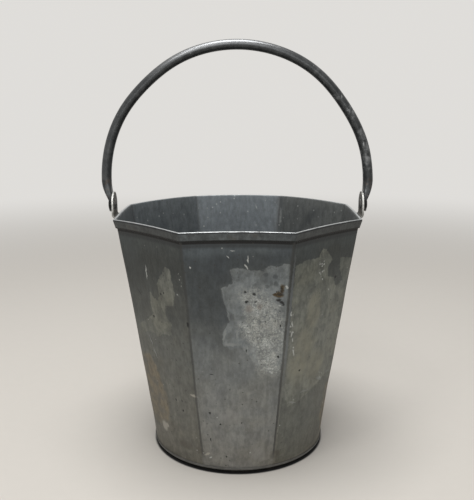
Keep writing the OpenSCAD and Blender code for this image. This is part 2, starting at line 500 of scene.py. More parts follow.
# outlines of the stains, in mm on the wall's map: across from the front's middle, and height
outlines = {
    "frontBloom": [
        (-9, 264), (-6, 255), (-5, 246), (-18, 242), (-14, 224), (-8, 203), (-17, 186), (-17, 173),
        (-8, 166), (3, 170), (11, 165), (18, 152), (28, 142), (44, 133), (52, 144), (53, 198), (53, 235),
        (52, 270), (45, 271), (43, 266), (32, 269), (25, 262), (12, 263), (-2, 266),
    ],
    "leafBloom": [
        (-78, 263), (-89, 250), (-98, 237), (-97, 224), (-101, 212), (-115, 226), (-115, 206), (-112, 197),
        (-128, 187), (-147, 177), (-144, 168), (-118, 171), (-107, 167), (-97, 176), (-83, 176), (-80, 192),
        (-88, 197), (-88, 212), (-73, 215), (-69, 232), (-73, 259),
    ],
    "rightBloom": [
        (58, 267), (76, 271), (93, 268), (98, 278), (103, 281), (109, 274), (120, 264), (114, 256),
        (114, 243), (125, 240), (134, 228), (147, 231), (136, 248), (133, 268), (142, 262), (174, 256),
        (196, 236), (200, 180), (188, 120), (170, 98), (135, 108), (116, 99), (87, 90), (67, 86), (60, 110),
        (58, 251),
    ],
    "pitted": [
        (3, 239), (9, 220), (12, 203), (3, 195), (10, 181), (19, 164), (29, 138), (49, 135), (52, 173),
        (51, 204), (39, 223), (24, 239),
    ],
    "dark": [
        (-50, 276), (-52, 120), (-12, 120), (-8, 180), (-17, 188), (-8, 204), (-12, 218), (-18, 242),
        (-5, 245), (-8, 263), (11, 267), (25, 262), (33, 270), (50, 271), (50, 281), (0, 283),
    ],
    "brown": [
        (-135, 138), (-125, 126), (-117, 110), (-111, 100), (-105, 84), (-108, 66), (-112, 56), (-124, 51),
        (-142, 42), (-165, 42), (-182, 70), (-178, 112), (-158, 134),
    ],
    "shade": [
        (57, 100), (61, 102), (88, 103), (104, 100), (118, 101), (130, 105), (137, 111), (150, 112),
        (185, 100), (192, 60), (178, 22), (120, 12), (57, 10),
    ],
}

# which outline goes where: shift across, shift up, mirrored or not
stainPlaces = {
    "bloom": [
        ("frontBloom", 0, 0, 1), ("leafBloom", 0, 0, 1), ("rightBloom", 0, 0, 1),
        ("leafBloom", -130, -30, 1), ("frontBloom", 212, -26, -1), ("rightBloom", 212, -40, 1),
        ("leafBloom", 300, -70, -1), ("frontBloom", -318, 8, -1), ("leafBloom", -205, 10, 1),
        ("frontBloom", -212, -70, 1),
    ],
    "pitted": [
        ("pitted", 0, 0, 1), ("pitted", 212, -26, -1), ("pitted", -318, 8, -1), ("pitted", -212, -70, 1),
    ],
    "dark": [
        ("dark", 0, 0, 1), ("dark", -318, 4, -1), ("dark", 318, 0, 1), ("dark", 212, 6, -1),
        ("dark", 424, 3, 1),
    ],
    "brown": [("brown", 0, 0, 1), ("brown", 330, -20, 1), ("brown", 130, -30, -1), ("brown", -190, -10, 1)],
    "shade": [("shade", 0, 0, 1), ("shade", -318, 16, 1), ("shade", 212, -24, 1)],
}


def stainField(name, across, height):
    best = np.full(across.shape, -30.0)
    lap = mapLap / mm
    for outline, shiftAcross, shiftUp, way in stainPlaces[name]:
        moved = ((across / mm - shiftAcross + lap / 2) % lap - lap / 2) * way
        best = np.maximum(best, insideOutline(outlines[outline], moved, height / mm - shiftUp))
    return np.clip(best / 10, -1, 1)


# out from the wall's outer face, and height: up the outside, over the hem and down the inside
def wallOutline():
    gap, sheet, rings = wall["hemGap"], wall["sheet"], wall["rings"]
    skirt = foldHeight + gap / 2 + sheet - wall["hemDepth"]

    def down(start, share):
        return start - wall["skirtTuck"] * share, foldHeight + (skirt - foldHeight) * share

    line = [(0, z) for z in steps(wallLow.z, foldHeight, rings)]
    line += arc(gap / 2, foldHeight, gap / 2, 180, 0, 8)[1:]
    line += [down(gap, share) for share in steps(0, 1, 4)[1:]]
    line.append((gap - wall["skirtTuck"] + sheet * 0.3, skirt - 0.15 * mm))
    line += [down(gap + sheet, share) for share in steps(0.98, 0, 6)]
    line += arc(gap / 2, foldHeight, gap / 2 + sheet, 0, 180, 14)[1:]
    return line + [(-sheet, z) for z in steps(foldHeight, wallLow.z, rings // 2)[1:]]


def buildWallMesh():
    spindle = 0.2                 # the outline is turned at this radius, and then moved to its place
    bm = bmesh.new()
    turnRound(bm, [(spindle + x, z) for x, z in wallOutline()], wall["flats"] * wall["columns"])
    mesh = meshFrom(bm, "pailWall")
    places = np.zeros(len(mesh.vertices) * 3)
    mesh.vertices.foreach_get("co", places)
    x, y, z = places.reshape(-1, 3).T
    out = np.hypot(x, y) - spindle
    angle = np.arctan2(y, x)
    part = (angle + halfFlat) % (2 * halfFlat) - halfFlat
    crowded = 1 - (1 - np.abs(part) / halfFlat) ** wall["crowding"]
    angle += np.sign(part) * crowded * halfFlat - part
    across = ((angle + math.pi * 1.5) % math.tau - math.pi) * wall["mapRadius"]
    radius, height, creaseAway = wallShape(angle, out, z)
    groove = np.exp(-(creaseAway / wall["creaseWidth"]) ** 2)
    groove *= easeBetween(z, 14 * mm, 34 * mm) * easeBetween(z, 300 * mm, 290 * mm) * (out < 0.5 * mm)
    radius = radius + wallWaves(across, z) - wall["creaseDepth"] * groove
    x, y = radius * np.cos(angle), radius * np.sin(angle)
    sideHalf = mouthRadius * math.tan(halfFlat)
    wider = np.clip((np.abs(y) - sideHalf) / (mouthRadius - sideHalf), 0, 1)
    x = x * (1 + wall["frontWider"] * wider * easeBetween(z, 10 * mm, 100 * mm))
    mesh.vertices.foreach_set("co", np.stack([x, y, height], 1).ravel())
    for name in stainPlaces:
        field = stainField(name, across, z).astype(np.float32)
        mesh.attributes.new(name, "FLOAT", "POINT").data.foreach_set("value", field)
    corners = np.zeros(len(mesh.loops), int)
    mesh.loops.foreach_get("vertex_index", corners)
    # the map: metres round from the front's middle, and metres up, with its seam at the back
    mapAcross = across[corners].reshape(-1, 4)
    torn = np.ptp(mapAcross, axis=1) > mapLap / 2
    mapAcross[torn] = np.where(mapAcross[torn] < 0, mapAcross[torn] + mapLap, mapAcross[torn])
    wallMap = np.stack([mapAcross.ravel(), z[corners]], 1)
    mesh.uv_layers.new(name="wallMap").data.foreach_set("uv", wallMap.ravel())
    # the outside, the hem and the inside have a finish each
    faceOut = out[corners].reshape(-1, 4).mean(1)
    faceHigh = z[corners].reshape(-1, 4).mean(1)
    onHem = (faceOut > 0.2 * mm) | (faceHigh > foldHeight)
    finish = np.where(faceOut < -0.2 * mm, 2, np.where(onHem, 1, 0))
    mesh.polygons.foreach_set("material_index", finish.astype(np.int32))
    mesh.update()
    return mesh


# marks on the outside, in mm: across, up, half width, half height and any turn in degrees
outsideMarks = {
    "rust": [(45.8, 240.5, 3.4, 7.4), (43.4, 234, 5.4, 5.4), (39.2, 234.2, 3.6, 2.4)],
    "black": [
        (43, 227.6, 3.6, 2.2), (46.6, 224.4, 4, 2, 25), (48.4, 221.8, 2.2, 1.7), (40.5, 237.5, 1.2, 1.2),
        (8.7, 237, 2.1, 1.9), (9.8, 225, 2.2, 2.4), (17.7, 234.3, 2.7, 2.2), (19.7, 225.1, 3, 0.9),
        (47.1, 196.3, 1.6, 2.4), (46.7, 157.1, 1.6, 2), (10.5, 164.7, 1.1, 3), (81.6, 131.6, 1.9, 1.9),
        (-54.3, 196.7, 1.9, 4.6), (-93.2, 225.6, 1.6, 1.8), (-87.6, 228, 1.6, 1.8), (-112, 194, 2.5, 2),
        (-136.6, 219.3, 7.5, 0.9, 38), (-38, 45, 1.3, 3), (-36.5, 82, 1.7, 2.6, -25), (130, 240, 3.2, 2.2),
        (-88.9, 89.5, 1.3, 2.2, -15), (-77.1, 91.6, 1.2, 2.6, -30), (-77.6, 78.4, 1.9, 1.9),
        (5.7, 70.4, 1.4, 1.4), (-23, 67.6, 1.5, 1.3), (-31.5, 134.5, 3.6, 0.8, 10), (-16.7, 23.5, 1.5, 1.3),
    ],
    "pale": [
        (10.8, 275, 0.8, 5.6), (9.2, 266.5, 0.9, 4, -32), (-9, 278, 0.8, 3, -35), (-5, 285, 3.2, 0.7),
        (-45.8, 266, 1.0, 1.6), (-115.2, 248, 1.2, 11, 2), (105, 241.5, 1.3, 1.3), (120, 226, 1.2, 2),
        (44.9, 221.4, 2, 1.2), (50.5, 243, 2.6, 1.6, 40), (17.3, 29.5, 1.3, 1.2), (61.5, 196, 1.1, 4.5),
        (64.6, 175, 1.2, 3.6, -10), (-52, 25, 1.6, 0.8), (-62, 26, 1.8, 0.8, 10), (-40, 20, 2.6, 0.8, -25),
        (68, 158, 1.2, 6.5, -12), (62.2, 183, 1.9, 4), (58.6, 209, 1.2, 3.4), (36.8, 142, 2.2, 1.8),
        (41.5, 136, 1.8, 1.6), (12.5, 188, 1.5, 1.5),
    ],
    "hole": [
        (-5.7, 207, 2.8, 6.6, -12), (-7.6, 184, 5.2, 5), (6.3, 183.5, 4.8, 7.8, -25),
        (-0.2, 166.5, 5.8, 4.2), (17.9, 243.5, 3.8, 4.2), (28.8, 257.5, 3.6, 3.2), (38.9, 255.6, 3.2, 3.6),
        (39.4, 247, 3, 4.4), (25.5, 264, 3.6, 4.2), (31, 243, 3.2, 3),
    ],
    "strand": [
        (-9.4, 207.5, 1.4, 8.4, -14), (-14.8, 184, 1.7, 10.5, 12), (-0.5, 185, 1.5, 7.6),
        (-5.4, 172.4, 12, 2.2), (9.3, 165.3, 2.1, 8, -33), (19.8, 152.5, 2.4, 10, -43),
        (97, 100, 13, 1.7, 4), (127, 108, 10, 1.9, 22), (148, 112, 7, 2.2), (75, 90, 9, 1.6, 16),
        (-127.5, 160, 1.5, 10, -20), (-121.5, 144, 1.3, 9, -28),
    ],
    "ochre": [(80, 150, 24, 44, 8), (112, 132, 24, 26), (96, 205, 16, 30)],
    "haze": [(12.7, 217, 5.2, 6.2), (24, 219, 4.5, 5)],
    "scour": [(4, 12, 26, 10), (30, 26, 16, 12, 30), (-12, 78, 18, 12, -20)],
    "smudge": [
        (-123.7, 44, 9.5, 9), (-116, 47, 4.5, 4), (-56.2, 104, 6.4, 2.1, 8), (-45, 24, 6.5, 2.2, -28),
    ],
    "dirt": [(-57, 27, 9, 7, 20), (56, 22, 12, 8), (-80, 30, 16, 8)],
    "strip": [(56.4, 200, 2.6, 105)],
    "flecks": [
        (59.5, 207, 3.5, 12), (62.5, 183, 5, 15, -10), (66, 163, 4, 13, -10), (60, 194, 4, 18),
        (50, 239, 4, 9), (38, 140, 8.5, 8), (101, 256, 9, 13), (128, 112, 7, 9, -35), (-59, 250, 3, 12),
        (-66, 228, 4, 5),
    ],
}

insideMarks = {
    "pale": [(368, 276, 3, 20, 3), (346, 269, 1.6, 1.6), (-330, 285, 1.2, 1.2), (400, 290, 1.2, 6, 20)],
    "shadow": [(318, 280, 10, 34, -40)],
}

# in the order the marks lie: kind, how strong it is, and whether the blotches break it up
markOrder = [("strip", 0.5, False), ("ochre", 0.62, True), ("haze", 0.4, True), ("scour", 0.4, True),
             ("smudge", 0.85, False), ("strand", 0.8, True), ("dirt", 0.5, True), ("rust", 1.0, False),
             ("pale", 0.75, False)]

# how soft the edge of each stain is, and how ragged
stainEdges = {
    "dark": (0.5, 0.9),
    "bloom": (0.04, 0.7),
    "pitted": (0.9, 1.3),
    "brown": (0.3, 1.3),
    "shade": (0.06, 0.7),
}

zinc = {
    # height in mm and colour, from the foot to the rim; the darkening towards the rim is partly stain and
    # partly painted shade
    "outside": [(6, (0.140, 0.133, 0.118)), (28, (0.144, 0.139, 0.126)), (70, (0.146, 0.145, 0.136)),
                (150, (0.122, 0.126, 0.123)), (215, (0.073, 0.078, 0.078)), (262, (0.043, 0.048, 0.049)),
                (281, (0.051, 0.059, 0.063)), (290, (0.053, 0.062, 0.067))],
    "bloom": (0.147, 0.156, 0.157),
    "sideBloom": (0.184, 0.188, 0.173),
    "pitted": (0.41, 0.405, 0.365),
    "dark": (0.031, 0.036, 0.039),
    "brown": (0.195, 0.160, 0.114),
    "ochre": (0.215, 0.207, 0.158),
    "rust": (0.082, 0.054, 0.021),
    "rustDark": (0.022, 0.018, 0.012),
    "haze": (0.150, 0.112, 0.086),
    "scour": (0.235, 0.232, 0.220),
    "strand": (0.215, 0.226, 0.218),
    "black": (0.012, 0.012, 0.012),
    "pale": (0.42, 0.43, 0.41),
    "smudge": (0.31, 0.295, 0.255),
    "dirt": (0.060, 0.052, 0.040),
    "strip": (0.135, 0.145, 0.155),
    "crestHighlight": (0.53, 0.55, 0.56),
    "inside": (0.116, 0.127, 0.134),
    "metal": 0.35,
    "fray": 4.2 * mm,             # how far the marks' edges stray
}


def readWallMap(place):
    return addNode(place.id_data, "UVMap", uv_map="wallMap").outputs[0]


def paintHeights(height, stops):
    low, high = stops[0][0] * mm, stops[-1][0] * mm
    ramp = addNode(treeOf(height), "ValToRGB")
    made = ramp.color_ramp
    made.interpolation = "EASE"
    made.elements.remove(made.elements[-1])
    made.elements[0].position = 0.0
    made.elements[0].color = (*stops[0][1], 1.0)
    for at, colour in stops[1:]:
        made.elements.new((at * mm - low) / (high - low)).color = (*colour, 1.0)
    share = addNode(treeOf(height), "MapRange")
    plugAll(share, **{"Value": height, "From Min": low, "From Max": high})
    plug(share.outputs[0], ramp.inputs[0])
    return ramp.outputs[0]


# how far each place is from the nearest crease
def creaseDistance(across):
    flatWide = mapLap / wall["flats"]
    fold = maths("PINGPONG", plus(across, mapLap), flatWide / 2)
    return minus(flatWide / 2, fold)


# how much of each stain there is, with a ragged edge
def findStains(place, cloud, frayed, lifted, holes):
    fraying = plus(sway(frayed, 1.1), sway(cloud["Broad"], 0.4))
    stains = {}
    for name, (soft, ragged) in stainEdges.items():
        stains[name] = rise(plus(attribute(place, name), times(fraying, ragged)), -soft, soft)
    stains["bloom"] = times(stains["bloom"], minus(1.0, times(holes, 0.75)))
    stains["dark"] = times(stains["dark"], rise(lifted, 140 * mm, 235 * mm))
    return stains


def layStains(colour, stains, sideways, blotches, grainy):
    colour = tint(colour, stains["shade"], (0.78, 0.80, 0.80))
    colour = cover(colour, stains["dark"], 0.82, zinc["dark"])
    bloom = paint(rise(sideways, 50 * mm, 56 * mm), zinc["bloom"], zinc["sideBloom"])
    colour = paint(times(stains["bloom"], between(blotches, 0.47, 0.75)), colour, bloom)
    colour = paint(times(stains["pitted"], between(grainy, 0.06, 0.66)), colour, zinc["pitted"])
    return paint(times(stains["brown"], between(blotches, 0.25, 0.75)), colour, zinc["brown"])


# clouds, run marks and grain, and painted light and shade that differ from flat to flat
def weatherAndShadeFlats(colour, place, cloud, across, sideways, lifted):
    colour = vary(colour, rise(cloud["Mottle"], 0.25, 0.75), (0.84, 0.84, 0.85), (1.18, 1.175, 1.16))
    colour = vary(colour, rise(cloud["Runs"], 0.3, 0.7), (0.80, 0.80, 0.80), (1.20, 1.20, 1.19), 0.42)
    colour = vary(colour, cloud["Fine"], (0.80, 0.80, 0.79), (1.18, 1.18, 1.18), 0.62)
    colour = tint(colour, times(rise(noise(place, 26, 3, 0.5), 0.42, 0.7), 0.4), (1.06, 1.0, 0.89))
    # the front flat is painted a lighter, colder grey than the others: painted light
    colour = vary(colour, rise(sideways, 52 * mm, 55 * mm), (1.10, 1.13, 1.15), (0.94, 0.95, 0.90))
    # the flat to its left is painted duller, and the one to its right duller near the rim: painted shade
    leftFlat = times(rise(across, -50 * mm, -56 * mm), rise(across, -162 * mm, -156 * mm))
    rightFlat = times(rise(across, 50 * mm, 56 * mm), rise(across, 162 * mm, 156 * mm))
    colour = tint(colour, leftFlat, (0.89, 0.88, 0.87))
    return tint(colour, times(rightFlat, rise(lifted, 190 * mm, 265 * mm)), (0.80, 0.81, 0.80))


# darker haze beside each crease, and where the dark line along its fold is to lie
def layCreases(colour, cloud, across, height, strayed):
    offFold = creaseDistance(plus(across, strayed))
    foldFade = times(rise(height, 12 * mm, 30 * mm), between(rise(cloud["Broad"], 0.35, 0.65), 0.65, 1.0))
    foldLine = times(rise(offFold, 2.2 * mm, 0.6 * mm), foldFade)
    foldHaze = times(rise(offFold, 10 * mm, 1 * mm), foldFade, rise(cloud["Mottle"], 0.3, 0.7))
    return tint(colour, times(foldHaze, 0.45), (0.7, 0.69, 0.66)), foldLine


# scabs in the brown stain, dark pits, pale flecks and scratches
def laySpots(colour, place, wallMap, stains, pits, flecks, scratched):
    scabs = times(dots(stretch(place, (1, 1, 0.5)), 270, 0.36, 0.5), stains["brown"])
    colour = cover(colour, scabs, 0.6, (0.045, 0.036, 0.026))
    colour = cover(colour, pits, 0.75, (0.032, 0.030, 0.026))
    colour = cover(colour, times(flecks, stains["pitted"]), 0.55, zinc["pale"])
    colour = cover(colour, dots(place, 120, 0.15, 0.09), 0.55, zinc["pale"])
    colour = cover(colour, scratched, 0.35, zinc["pale"])
    colour = tint(colour, lines(wallMap, 190, 0.12, 0.3), (1.3, 1.3, 1.28))
    return tint(colour, lines(wallMap, 160, -0.2, 0.22), (0.74, 0.74, 0.74))


def layMarks(colour, marks, blotches, frayed):
    for kind, strength, broken in markOrder:
        amount = times(marks[kind], strength)
        if broken:
            amount = times(amount, between(blotches, 0.5, 1.0))
        over = zinc[kind]
        if kind == "rust":
            over = paint(rise(frayed, 0.44, 0.56), zinc["rustDark"], over)
        colour = paint(amount, colour, over)
    return colour


def buildOutsideZinc():
    material, place, cloud = startMaterial("outsideZinc")
    wallMap = readWallMap(place)
    across, height = split(wallMap)[:2]
    sideways = maths("ABSOLUTE", across)
    # an uneven copy of the map, so that no mark has a clean edge
    shaken = vectorMaths("SUBTRACT", noise(place, 240, 4, 0.5, output="Color"), (0.5, 0.5, 0.5))
    uneven = vectorMaths("MULTIPLY_ADD", shaken, (zinc["fray"], zinc["fray"], 0), wallMap)
    strayed = times(minus(split(uneven)[0], across), 0.35)
    lifted = plus(height, sway(cloud["Broad"], 75 * mm))
    frayed = noise(place, 150, 6, 0.72, 0.5)
    blotches = rise(cloud["Mottle"], 0.36, 0.6)
    grainy = rise(noise(place, 280, 6, 0.85, 1.6), 0.44, 0.58)
    pits = most(dots(place, 95, 0.15, 0.2), dots(place, 190, 0.24, 0.26))
    flecks = dots(place, 300, 0.5, 0.6)
    scratched = most(lines(wallMap, 70, 0.35, 0.07), lines(wallMap, 90, -0.75, 0.05))
    marks = {kind: ovals(uneven, places, 0.45) for kind, places in outsideMarks.items()}
    stains = findStains(place, cloud, frayed, lifted, marks["hole"])

    colour = paintHeights(lifted, zinc["outside"])
    colour = layStains(colour, stains, sideways, blotches, grainy)
    colour = weatherAndShadeFlats(colour, place, cloud, across, sideways, lifted)
    colour, foldLine = layCreases(colour, cloud, across, height, strayed)
    # dirt above the base's edge, and painted shadow under the hem
    foot = rise(plus(height, sway(cloud["Mottle"], 30 * mm)), 20 * mm, 6 * mm)
    colour = cover(colour, foot, 0.16, zinc["dirt"])
    # painted shadow cast by the hem, then a near-black painted shadow line under its edge and behind it
    colour = cover(colour, rise(height, 286 * mm, 290.5 * mm), 0.72, (0.020, 0.022, 0.023))
    colour = paint(rise(height, 292.6 * mm, 293.5 * mm), colour, (0.003, 0.003, 0.003))
    colour = laySpots(colour, place, wallMap, stains, pits, flecks, scratched)
    # the sheet's lap, dressed flat, beside the back's left crease
    lap = mapLap * 7 / 16 + wall["lapBeside"]
    seam = times(rise(across, lap - 0.5 * mm, lap), rise(across, lap + 1.4 * mm, lap))
    colour = cover(colour, times(seam, rise(height, 292 * mm, 288 * mm)), 0.8, (0.030, 0.029, 0.027))
    colour = layMarks(colour, marks, blotches, frayed)
    colour = cover(colour, times(marks["flecks"], flecks), 0.85, zinc["pale"])
    colour = cover(colour, foldLine, 0.85, (0.036, 0.036, 0.034))
    colour = cover(colour, marks["black"], 0.95, zinc["black"])

    dry = most(stains["bloom"], stains["pitted"], foot)
    rough = plus(between(cloud["Mottle"], 0.47, 0.63), times(dry, 0.1))
    bumps = plus(times(cloud["Fine"], 0.35), times(cloud["Mottle"], 0.8))
    bumps = plus(bumps, times(rise(across, lap, lap + 0.6 * mm), 1.2))
    bumps = plus(bumps, times(grainy, stains["pitted"], 0.7))
    bumps = minus(bumps, plus(times(pits, 0.9), most(marks["rust"], marks["black"], scratched)))
    return endMaterial(material, colour, zinc["metal"], rough, bumps, depth=0.35 * mm)


def buildHemZinc():
    material, place, cloud = startMaterial("hemZinc", 1.25)
    across, height = split(readWallMap(place))[:2]
    above = minus(height, foldHeight)
    colour = mottled(cloud, (0.046, 0.052, 0.054), (0.082, 0.091, 0.094))
    colour = vary(colour, cloud["Fine"], (0.76, 0.76, 0.76), (1.24, 1.24, 1.24), 0.8)
    # the hem on the side flats is painted darker than on the front: painted shade
    colour = tint(colour, rise(maths("ABSOLUTE", across), 50 * mm, 56 * mm), (0.70, 0.68, 0.66))
    colour = cover(colour, rise(noise(place, 48, 3, 0.6), 0.55, 0.72), 0.3, (0.10, 0.086, 0.066))
    # a bright line along the very top, a painted highlight on partly rubbed metal, with painted shade on
    # both its sides
    colour = cover(colour, rise(above, -0.6 * mm, 0.3 * mm), 0.92, (0.012, 0.013, 0.014))
    crestHighlight = rise(plus(above, sway(cloud["Mottle"], 0.9 * mm)), 1.3 * mm, 1.7 * mm)
    colour = cover(colour, crestHighlight, 0.95, zinc["crestHighlight"])
    # a near-black painted shadow along the hem's lower edge
    colour = cover(colour, rise(above, -7.1 * mm, -8.1 * mm), 0.97, (0.004, 0.004, 0.004))
    nicks = dots(place, 170, 0.2, 0.12)
    colour = cover(colour, nicks, 0.7, (0.03, 0.027, 0.022))
    rough = minus(between(cloud["Mottle"], 0.42, 0.62), times(crestHighlight, 0.12))
    bumps = minus(plus(times(cloud["Fine"], 0.3), cloud["Mottle"]), nicks)
    return endMaterial(material, colour, between(crestHighlight, 0.4, 0.95), rough, bumps, depth=0.3 * mm)


def buildInsideZinc():
    material, place, cloud = startMaterial("insideZinc", 0.9)
    wallMap = readWallMap(place)
    across, height = split(wallMap)[:2]
    waterline = plus(height, sway(cloud["Broad"], 60 * mm))
    colour = paint(rise(waterline, 60 * mm, 190 * mm), (0.135, 0.128, 0.112), zinc["inside"])
    ring = times(rise(waterline, 120 * mm, 126 * mm), rise(waterline, 136 * mm, 127 * mm))
    colour = cover(colour, ring, 0.35, (0.24, 0.235, 0.215))
    colour = vary(colour, rise(cloud["Mottle"], 0.25, 0.75), (0.84, 0.85, 0.86), (1.16, 1.15, 1.13))
    colour = vary(colour, rise(cloud["Runs"], 0.36, 0.64), (0.84, 0.84, 0.84), (1.16, 1.16, 1.16), 0.45)
    colour = vary(colour, cloud["Fine"], (0.74, 0.74, 0.74), (1.24, 1.24, 1.24), 0.55)
    # the back's flat is painted paler than the flats beside it, with a soft edge, as painted light; and the
    # right side is warmer
    back = rise(plus(maths("ABSOLUTE", across), sway(cloud["Mottle"], 20 * mm)), 361 * mm, 380 * mm)
    colour = vary(colour, back, (0.81, 0.83, 0.83), (0.91, 0.94, 0.96))
    colour = tint(colour, times(rise(across, -20 * mm, 20 * mm), minus(1.0, back)), (1.02, 0.96, 0.89))
    rustLow = times(rise(waterline, 34 * mm, 4 * mm), rise(noise(place, 60, 4, 0.6), 0.4, 0.6))
    colour = cover(colour, rustLow, 0.6, (0.13, 0.075, 0.035))
    colour = cover(colour, rise(creaseDistance(across), 3 * mm, 0.6 * mm), 0.35, (0.05, 0.05, 0.05))
    pale = times(ovals(wallMap, insideMarks["pale"], 0.1), rise(cloud["Mottle"], 0.3, 0.6))
    colour = cover(colour, pale, 0.55, zinc["pale"])
    colour = cover(colour, ovals(wallMap, insideMarks["shadow"], 0.1), 0.55, zinc["dark"])
    colour = cover(colour, dots(place, 150, 0.22, 0.32), 0.5, zinc["pale"])
    pits = dots(place, 110, 0.17, 0.15)
    colour = cover(colour, pits, 0.6, zinc["dirt"])
    rough = between(cloud["Mottle"], 0.42, 0.62)
    bumps = minus(grainHeight(cloud, 0.3), pits)
    return endMaterial(material, colour, zinc["metal"], rough, bumps, depth=0.3 * mm, strength=0.5)


wallFinishes = [buildOutsideZinc(), buildHemZinc(), buildInsideZinc()]
finishPiece("pailWall", buildWallMesh(), wallFinishes, "pail", ["pail_wall"])


# the base: a pressed disc with a folded edge and a foot ring

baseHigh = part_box("base_pan")[1]

base = {
    "edge": 112.5 * mm,
    "foot": 4.5 * mm,
    "footOut": 109.0 * mm,
    "footIn": 101.0 * mm,
    "sheet": 1.0 * mm,
    "corner": 1.5 * mm,
    "soft": 0.35 * mm,
    "floor": 97.0 * mm,           # the floor isn't quite flat inside this radius
    "tides": (52 * mm, 78 * mm, 93 * mm),
}


def buildBaseMesh():
    edge, foot, sheet, corner = base["edge"], base["foot"], base["sheet"], base["corner"]
    ringOut, ringIn, seat = base["footOut"], base["footIn"], base["foot"] + base["sheet"]
    line = [(r, seat) for r in steps(0, ringIn + sheet, 14)]
    line += [(ringIn + sheet, sheet), (ringOut - sheet, sheet), (ringOut - sheet, seat)]
    line += [(edge - sheet, seat), (baseHigh.x - sheet, baseHigh.z), (baseHigh.x, baseHigh.z)]
    line += arc(edge - corner, foot + corner, corner, 0, -90, 5)
    line += [(ringOut, foot), (ringOut, 0), (ringIn, 0)] + [(r, foot) for r in steps(ringIn, 0, 8)]
    bm = bmesh.new()
    turnRound(bm, line, 192, closed=False)
    softenEdges(bm, 40, base["soft"], 2)
    bmesh.ops.recalc_face_normals(bm, faces=bm.faces)
    for vert in bm.verts:
        far = math.hypot(vert.co.x, vert.co.y)
        if far < base["floor"]:
            wave = 0.25 * math.sin(math.atan2(vert.co.y, vert.co.x) * 2 + far * 40) - 0.2
            vert.co.z += wave * mm * (1 - (far / base["floor"]) ** 2)
    for face in bm.faces:         # the underside gets the painted shade and grime
        under = face.calc_center_median().z < foot + 0.05 * mm and face.normal.z < 0.5
        face.material_index = 1 if under else 0
    return markEdges(meshFrom(bm, "basePan"), 35)


def buildBaseZinc():
    material, place, cloud = startMaterial("baseZinc", 1.1)
    reach = vectorMaths("LENGTH", stretch(place, (1, 1, 0)))
    colour = mottled(cloud, (0.098, 0.096, 0.088), (0.165, 0.162, 0.150))
    # water has stood on the floor: tide rings and rust towards the corner
    tide = plus(reach, sway(cloud["Broad"], 70 * mm))
    for at in base["tides"]:
        ring = times(rise(tide, at - 5 * mm, at), rise(tide, at + 1.5 * mm, at))
        colour = cover(colour, ring, 0.4, (0.26, 0.25, 0.22))
    rust = times(rise(noise(place, 34, 5, 0.65), 0.5, 0.66), rise(tide, 40 * mm, 104 * mm))
    colour = cover(colour, rust, 0.75, (0.125, 0.062, 0.026))
    band = mottled(cloud, (0.080, 0.077, 0.070), (0.125, 0.122, 0.112))
    colour = paint(rise(reach, 110.6 * mm, 111.6 * mm), colour, band)
    colour = paint(rubbedEdge(place, 0.12), colour, (0.20, 0.205, 0.205))
    pits = dots(place, 120, 0.2, 0.3)
    colour = cover(colour, pits, 0.7, zinc["dirt"])
    rough = between(cloud["Mottle"], 0.46, 0.68)
    bumps = minus(grainHeight(cloud, 0.3), pits)
    return endMaterial(material, colour, zinc["metal"], rough, bumps, depth=0.3 * mm)


# the underside and the foot ring are painted near black: painted shade, with damp dirt and crumbs
def buildFootGrimeAndShade():
    material, place, cloud = startMaterial("footGrimeAndShade", 1.4)
    colour = mottled(cloud, (0.004, 0.004, 0.004), (0.014, 0.013, 0.011), 0.35, 0.65)
    crumbs = dots(place, 130, 0.2, 0.2)
    colour = cover(colour, crumbs, 0.25, (0.05, 0.04, 0.03))
    material.node_tree.nodes["Principled BSDF"].inputs["Specular IOR Level"].default_value = 0.12
    rough = between(cloud["Mottle"], 0.75, 0.95)
    bumps = plus(cloud["Mottle"], times(crumbs, 0.6))
    return endMaterial(material, colour, 0.0, rough, bumps, depth=0.4 * mm)


baseFinishes = [buildBaseZinc(), buildFootGrimeAndShade()]
finishPiece("basePan", buildBaseMesh(), baseFinishes, "pail", ["base_pan"])


# the ears, strips with round ends that are joggled in below the hem, and their rivets

lugLow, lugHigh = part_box("right_lug")
pivotLow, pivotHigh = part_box("right_pivot_rivet")
pivotHeight = (pivotLow.z + pivotHigh.z) / 2

lug = {
    "thick": 2.0 * mm,
    "stand": 157.4 * mm,          # inner face of the upright end
    "joggleTop": 303.0 * mm,
    "joggleFoot": 290.0 * mm,
    "off": 0.2 * mm,              # gap between the ear and the wall
    "bend": 5.0 * mm,
    "edge": 0.45 * mm,
    "outOfTrue": 0.12 * mm,
    "knockedAbove": 306.0 * mm,
}

rivet = {
    "shank": 2.5 * mm,
    "head": 5.0 * mm,
    "rise": 2.0 * mm,
    "outerSeat": 2.2 * mm,
    "innerSeat": -1.2 * mm,
    "drop": 25.0 * mm,            # from the rim to the upper rivet
    "pitch": 16.0 * mm,
}

pivot = {
    "shank": 4.0 * mm,
    "head": 6.5 * mm,
    "innerSeat": 157.4 * mm,
    "innerRise": 2.0 * mm,
    "outerSeat": 164.5 * mm,
    "outerRise": 1.0 * mm,
}

wallSlope = math.atan((mouthRadius - wall["footRadius"]) / (foldHeight + wall["crown"] - wallLow.z))
upperRivet = foldHeight + wall["hemGap"] / 2 + wall["sheet"] - rivet["drop"]
rivetHeights = (upperRivet, upperRivet - rivet["pitch"] * math.cos(wallSlope))


def wallAcross(height):
    return wall["footRadius"] + (height - wallLow.z) * math.tan(wallSlope)


# a line of points with each corner rounded to a radius
def roundedLine(points, radius):
    line = [Vector(points[0])]
    for trio in zip(points, points[1:], points[2:]):
        before, at, after = (Vector(point) for point in trio)
        toBefore, toAfter = (before - at).normalized(), (after - at).normalized()
        back = radius / math.tan(toBefore.angle(toAfter) / 2)
        first, last = at + toBefore * back, at + toAfter * back
        line += [(1 - s) ** 2 * first + 2 * s * (1 - s) * at + s ** 2 * last for s in steps(0, 1, 6)]
    return line + [Vector(points[-1])]


